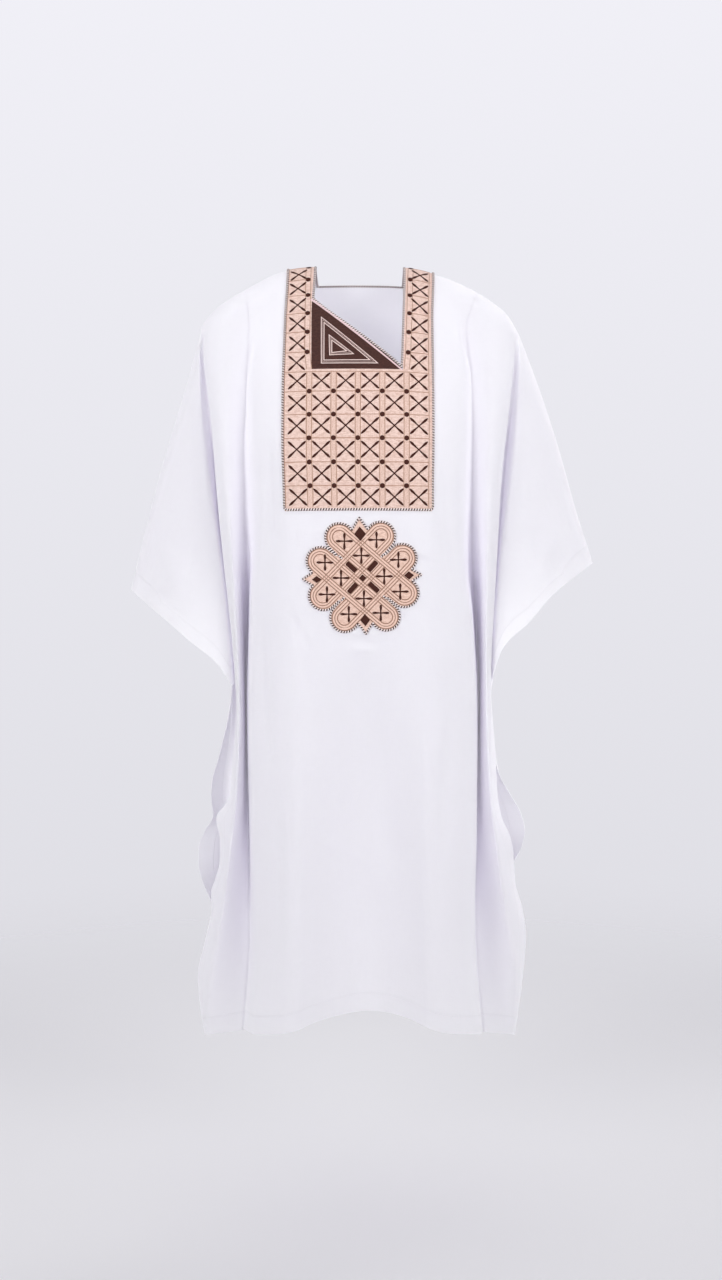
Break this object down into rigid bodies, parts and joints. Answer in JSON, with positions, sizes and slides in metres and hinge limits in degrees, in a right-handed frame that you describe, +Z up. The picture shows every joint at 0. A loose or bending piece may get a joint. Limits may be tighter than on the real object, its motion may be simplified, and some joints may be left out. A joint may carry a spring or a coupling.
{
  "type": "grand boubou robe",
  "caption": "Long loose robe with wide draped sleeves, worn over the head, with an embroidered chest field, straps beside the neck, a dark neck corner and a lobed medallion.",
  "frame": {"origin": "middle of the neck opening, level with the top of the shoulder straps, where the wearer's shoulders carry the robe", "axes": "+X to the right of someone who faces the robe, +Y towards the robe's back, +Z up; the robe faces -Y"},
  "size_m": [0.7479, 0.3313, 1.2583],
  "materials": {
    "white_cotton": "smooth plain-woven cotton blend, matt, slightly crisp",
    "peach_embroidery": "dense satin stitch in peach thread with dark brown motifs",
    "brown_satin": "dense dark brown satin stitch",
    "rope_edging": "twisted brown and pink thread"
  },
  "bodies": {
    "root": {"front_panel": "white_cotton", "back_panel": "white_cotton", "sleeve_left": "white_cotton", "sleeve_right": "white_cotton", "chest_bib": "peach_embroidery", "neck_triangle": "brown_satin", "medallion": "peach_embroidery", "neck_binding": "rope_edging"}
  },
  "joints": []
}
